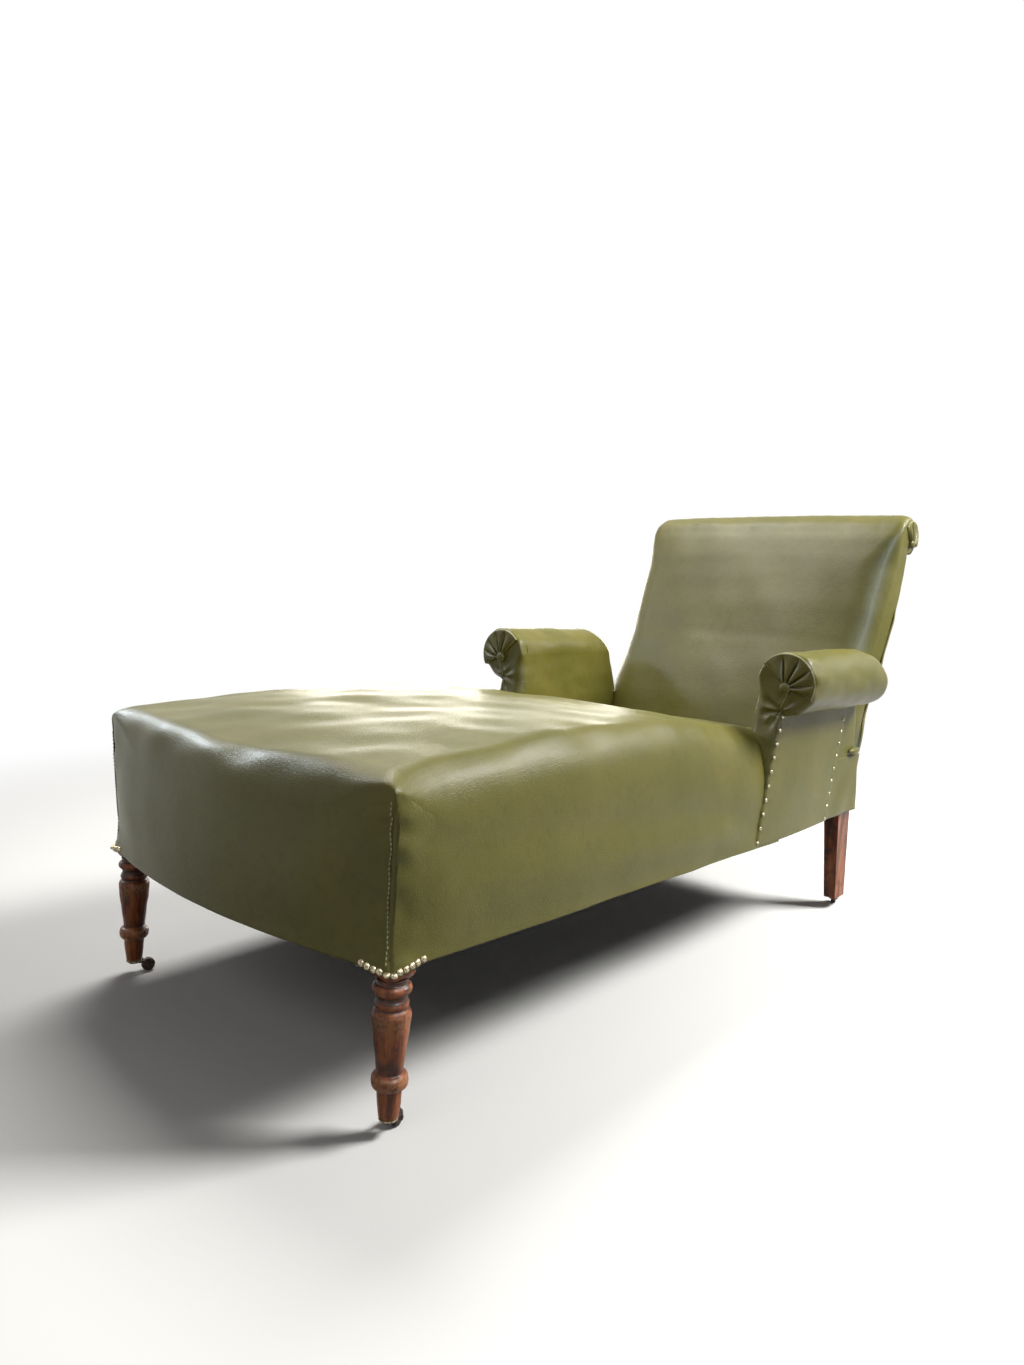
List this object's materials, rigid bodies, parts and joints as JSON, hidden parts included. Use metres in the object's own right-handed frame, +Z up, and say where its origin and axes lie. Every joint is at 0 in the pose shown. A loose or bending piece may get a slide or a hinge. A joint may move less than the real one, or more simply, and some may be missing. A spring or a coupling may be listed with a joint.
{
  "type": "fainting couch",
  "caption": "Victorian daybed in olive leather: long sprung seat bowed at the foot, low scroll arms with pleated rosettes, raked scroll back, turned wooden legs on castors.",
  "frame": {"origin": "centre of the footprint of the whole couch, at floor level", "axes": "+Y from the foot end to the head, along the couch; +X to the sitter's side that faces the camera, across the couch; +Z up"},
  "size_m": [0.816, 1.6202, 0.8514],
  "materials": {
    "olive_leather": "satin olive-green upholstery leather with a fine pebble grain",
    "button_leather": "the same leather, stretched over a button",
    "walnut": "worn french-polished walnut",
    "beech": "plain sawn beech",
    "jute": "woven jute",
    "hair": "teased horsehair",
    "dust_cloth": "black cotton",
    "brass": "aged brass",
    "iron": "dark iron wire and screws",
    "castor_iron": "dark iron wheel with a worn tread"
  },
  "bodies": {
    "couch": {"foot_rail": "beech", "side_rail_left": "beech", "side_rail_right": "beech", "head_rail": "beech", "cross_rail": "beech", "corner_blocks": "beech", "corner_screws": "iron", "front_leg_left": "walnut", "front_leg_right": "walnut", "rear_upright_left": "walnut", "rear_upright_right": "walnut", "back_top_rail": "beech", "back_tack_rail": "beech", "arm_post_left": "beech", "arm_post_right": "beech", "arm_rail_left": "beech", "arm_rail_right": "beech", "arm_stay_left": "beech", "arm_stay_right": "beech", "seat_webbing": "jute", "seat_springs": "iron", "spring_hessian": "jute", "seat_stuffing": "hair", "seat_leather": "olive_leather", "bottom_cloth": "dust_cloth", "back_webbing": "jute", "back_stuffing": "hair", "back_leather": "olive_leather", "outside_back": "olive_leather", "arm_stuffing_left": "hair", "arm_stuffing_right": "hair", "arm_leather_left": "olive_leather", "arm_leather_right": "olive_leather", "outside_arm_left": "olive_leather", "outside_arm_right": "olive_leather", "rear_side_cover_left": "olive_leather", "rear_side_cover_right": "olive_leather", "arm_rosette_left": "olive_leather", "arm_rosette_right": "olive_leather", "back_rosette_left": "olive_leather", "back_rosette_right": "olive_leather", "rosette_buttons": "button_leather", "leg_nails": "brass", "arm_pins": "brass", "castor_plates": "brass", "castor_screws": "brass"},
    "castor_front_left": {"castor_fork_front_left": "brass", "castor_axle_front_left": "iron"},
    "castor_front_right": {"castor_fork_front_right": "brass", "castor_axle_front_right": "iron"},
    "castor_back_left": {"castor_fork_back_left": "brass", "castor_axle_back_left": "iron"},
    "castor_back_right": {"castor_fork_back_right": "brass", "castor_axle_back_right": "iron"},
    "wheel_front_left": {"castor_wheel_front_left": "castor_iron"},
    "wheel_front_right": {"castor_wheel_front_right": "castor_iron"},
    "wheel_back_left": {"castor_wheel_back_left": "castor_iron"},
    "wheel_back_right": {"castor_wheel_back_right": "castor_iron"}
  },
  "joints": [
    {"name": "castor_swivel_front_left", "type": "hinge", "parent": "couch", "child": "castor_front_left", "pos_m": [-0.318, -0.73686, 0.02], "axis": [0, 0, 1], "continuous": true},
    {"name": "wheel_roll_front_left", "type": "hinge", "parent": "castor_front_left", "child": "wheel_front_left", "pos_m": [-0.31305, -0.71542, 0.0105], "axis": [-0.9744, 0.225, 0], "continuous": true},
    {"name": "castor_swivel_front_right", "type": "hinge", "parent": "couch", "child": "castor_front_right", "pos_m": [0.318, -0.73686, 0.02], "axis": [0, 0, 1], "continuous": true},
    {"name": "wheel_roll_front_right", "type": "hinge", "parent": "castor_front_right", "child": "wheel_front_right", "pos_m": [0.3094, -0.71661, 0.0105], "axis": [-0.9205, -0.3907, 0], "continuous": true},
    {"name": "castor_swivel_back_left", "type": "hinge", "parent": "couch", "child": "castor_back_left", "pos_m": [-0.325, 0.50464, 0.02], "axis": [0, 0, 1], "continuous": true},
    {"name": "wheel_roll_back_left", "type": "hinge", "parent": "castor_back_left", "child": "wheel_back_left", "pos_m": [-0.32692, 0.52656, 0.0105], "axis": [-0.9962, -0.0872, 0], "continuous": true},
    {"name": "castor_swivel_back_right", "type": "hinge", "parent": "couch", "child": "castor_back_right", "pos_m": [0.325, 0.50464, 0.02], "axis": [0, 0, 1], "continuous": true},
    {"name": "wheel_roll_back_right", "type": "hinge", "parent": "castor_back_right", "child": "wheel_back_right", "pos_m": [0.31676, 0.52504, 0.0105], "axis": [-0.9272, -0.3746, 0], "continuous": true}
  ]
}
